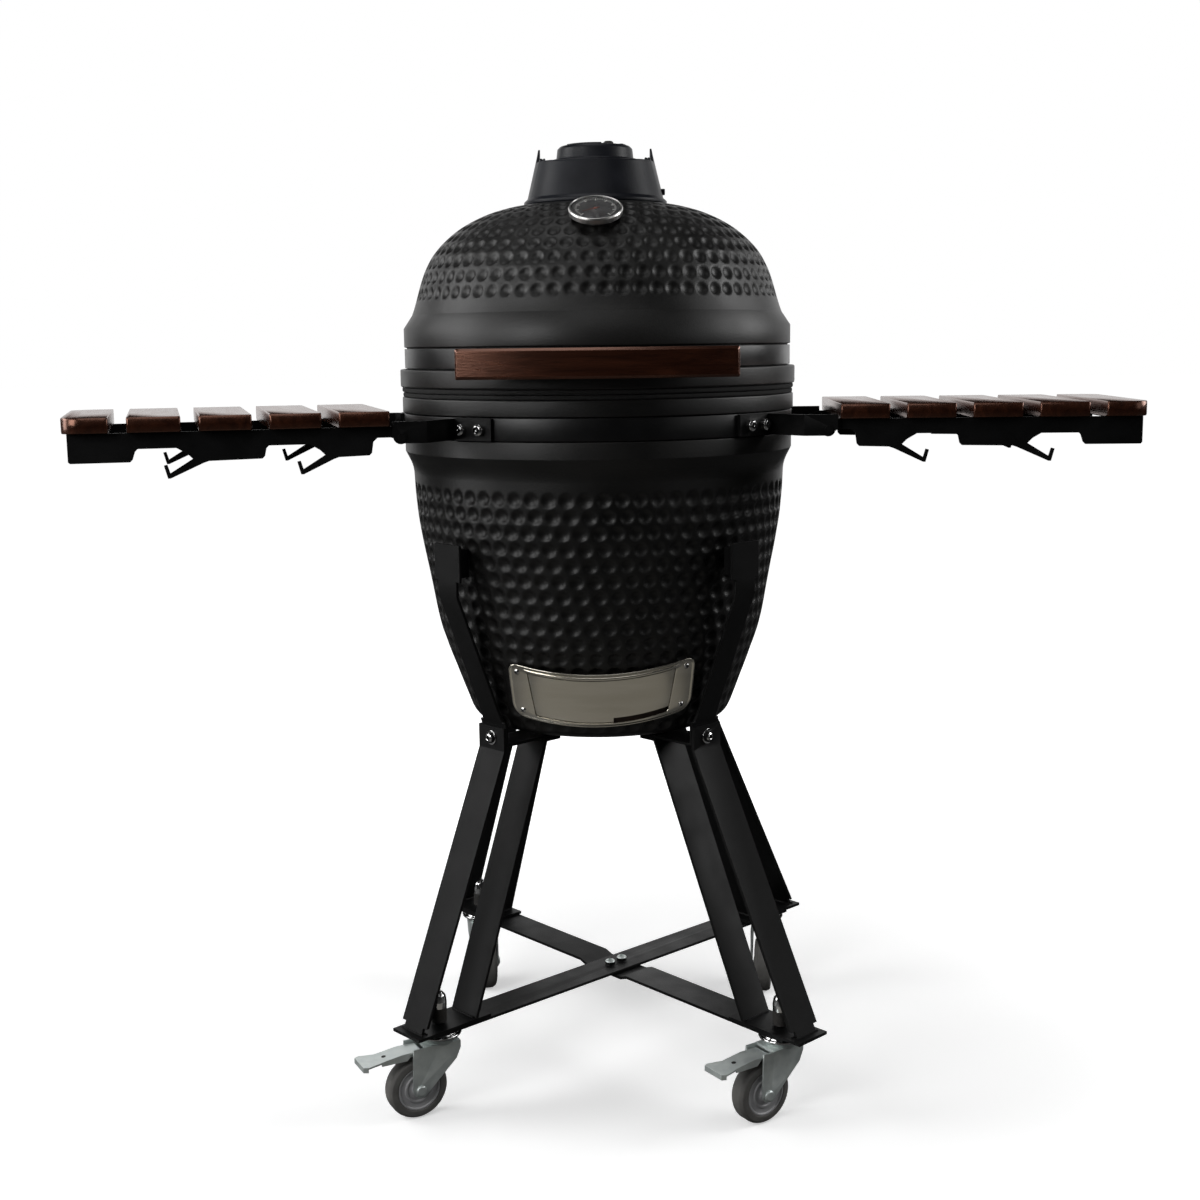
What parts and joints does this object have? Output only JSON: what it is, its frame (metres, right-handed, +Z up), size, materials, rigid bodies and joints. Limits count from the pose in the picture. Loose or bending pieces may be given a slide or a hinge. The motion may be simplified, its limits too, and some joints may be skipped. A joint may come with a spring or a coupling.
{
  "type": "kamado grill",
  "caption": "Ceramic kamado grill in a four-legged steel cart on swivel casters, with hinged domed lid, top vent, draft door and two folding slatted side tables.",
  "frame": {"origin": "on the floor, on the axis of the ceramic shells", "axes": "+Z up; the front with the handle and draft door faces -Y; +X to the viewer's right"},
  "size_m": [1.3514, 0.666, 1.2455],
  "materials": {
    "ceramic": "matt charcoal glaze",
    "satin_black": "satin black",
    "powder_coat": "fine matt powder coat",
    "fire_clay": "unglazed",
    "felt": "felt gasket",
    "stainless": "brushed",
    "zinc_plate": "zinc plated",
    "iron_black": "satin black cast iron",
    "varnished_wood": "dark red-brown varnish",
    "caster_rubber": "grey moulded tread"
  },
  "bodies": {
    "base": {"lower_shell": "ceramic", "lower_band": "satin_black", "lower_gasket": "felt", "fire_bowl": "fire_clay", "fire_ring": "fire_clay", "charcoal_grate": "iron_black", "cooking_grate": "stainless", "door_frame": "stainless", "hinge_base": "satin_black", "hinge_pin": "stainless", "hinge_spring_left": "zinc_plate", "hinge_spring_right": "zinc_plate", "table_bracket_left": "powder_coat", "table_bracket_right": "powder_coat", "crossbar_upper": "powder_coat", "crossbar_lower": "powder_coat", "cradle_front_left": "powder_coat", "leg_front_left": "powder_coat", "caster_stem_front_left": "zinc_plate", "cradle_front_right": "powder_coat", "leg_front_right": "powder_coat", "caster_stem_front_right": "zinc_plate", "cradle_rear_left": "powder_coat", "leg_rear_left": "powder_coat", "caster_stem_rear_left": "zinc_plate", "cradle_rear_right": "powder_coat", "leg_rear_right": "powder_coat", "caster_stem_rear_right": "zinc_plate"},
    "lid": {"lid_dome": "ceramic", "lid_gasket": "felt", "lid_band": "satin_black", "hinge_lid": "satin_black", "handle_bar": "varnished_wood", "vent_cone": "iron_black", "thermometer": "stainless"},
    "vent": {"vent_disc": "iron_black"},
    "draft": {"draft_door": "stainless"},
    "screen": {"ash_screen": "stainless"},
    "table_left": {"table_frame_left": "powder_coat", "table_slat_left_1": "varnished_wood", "table_slat_left_2": "varnished_wood", "table_slat_left_3": "varnished_wood", "table_slat_left_4": "varnished_wood", "table_slat_left_5": "varnished_wood"},
    "table_right": {"table_frame_right": "powder_coat", "table_slat_right_1": "varnished_wood", "table_slat_right_2": "varnished_wood", "table_slat_right_3": "varnished_wood", "table_slat_right_4": "varnished_wood", "table_slat_right_5": "varnished_wood"},
    "caster_front_left": {"fork_front_left": "zinc_plate"},
    "roller_front_left": {"wheel_front_left": "caster_rubber"},
    "brake_front_left": {"brake_pedal_front_left": "zinc_plate"},
    "caster_front_right": {"fork_front_right": "zinc_plate"},
    "roller_front_right": {"wheel_front_right": "caster_rubber"},
    "brake_front_right": {"brake_pedal_front_right": "zinc_plate"},
    "caster_rear_left": {"fork_rear_left": "zinc_plate"},
    "roller_rear_left": {"wheel_rear_left": "caster_rubber"},
    "caster_rear_right": {"fork_rear_right": "zinc_plate"},
    "roller_rear_right": {"wheel_rear_right": "caster_rubber"}
  },
  "joints": [
    {"name": "lid_hinge", "type": "hinge", "parent": "base", "child": "lid", "pos_m": [0, 0.292, 0.918], "axis": [-1, 0, 0], "range_deg": [0, 70]},
    {"name": "vent_turn", "type": "hinge", "parent": "lid", "child": "vent", "pos_m": [0, 0, 1.21], "axis": [0, 0, 1], "range_deg": [0, 60]},
    {"name": "draft_slide", "type": "hinge", "parent": "base", "child": "draft", "pos_m": [0, 0, 0.54], "axis": [0, 0, 1], "range_deg": [0, 50]},
    {"name": "screen_slide", "type": "hinge", "parent": "base", "child": "screen", "pos_m": [0, 0, 0.54], "axis": [0, 0, 1], "range_deg": [0, 50]},
    {"name": "table_fold_left", "type": "hinge", "parent": "base", "child": "table_left", "pos_m": [-0.28205, -0.07558, 0.875], "axis": [0.2588, -0.9659, 0], "range_deg": [0, 90]},
    {"name": "table_fold_right", "type": "hinge", "parent": "base", "child": "table_right", "pos_m": [0.2916, -0.01528, 0.875], "axis": [0.0523, 0.9986, 0], "range_deg": [0, 90]},
    {"name": "swivel_front_left", "type": "hinge", "parent": "base", "child": "caster_front_left", "pos_m": [-0.21512, -0.2081, 0.1], "axis": [0, 0, 1], "continuous": true},
    {"name": "roll_front_left", "type": "hinge", "parent": "caster_front_left", "child": "roller_front_left", "pos_m": [-0.24514, -0.22406, 0.04], "axis": [0.4695, -0.8829, 0], "continuous": true},
    {"name": "brake_front_left", "type": "hinge", "parent": "caster_front_left", "child": "brake_front_left", "pos_m": [-0.24337, -0.22312, 0.0893], "axis": [0.4695, -0.8829, 0], "range_deg": [0, 8]},
    {"name": "swivel_front_right", "type": "hinge", "parent": "base", "child": "caster_front_right", "pos_m": [0.2241, -0.23112, 0.1], "axis": [0, 0, 1], "continuous": true},
    {"name": "roll_front_right", "type": "hinge", "parent": "caster_front_right", "child": "roller_front_right", "pos_m": [0.19591, -0.25013, 0.04], "axis": [0.5592, -0.829, 0], "continuous": true},
    {"name": "brake_front_right", "type": "hinge", "parent": "caster_front_right", "child": "brake_front_right", "pos_m": [0.19757, -0.24901, 0.0893], "axis": [0.5592, -0.829, 0], "range_deg": [0, 8]},
    {"name": "swivel_rear_left", "type": "hinge", "parent": "base", "child": "caster_rear_left", "pos_m": [-0.1921, 0.23112, 0.1], "axis": [0, 0, 1], "continuous": true},
    {"name": "roll_rear_left", "type": "hinge", "parent": "caster_rear_left", "child": "roller_rear_left", "pos_m": [-0.18387, 0.19813, 0.04], "axis": [0.9703, 0.2419, 0], "continuous": true},
    {"name": "swivel_rear_right", "type": "hinge", "parent": "base", "child": "caster_rear_right", "pos_m": [0.24712, 0.2081, 0.1], "axis": [0, 0, 1], "continuous": true},
    {"name": "roll_rear_right", "type": "hinge", "parent": "caster_rear_right", "child": "roller_rear_right", "pos_m": [0.24239, 0.17443, 0.04], "axis": [0.9903, -0.1392, 0], "continuous": true}
  ]
}
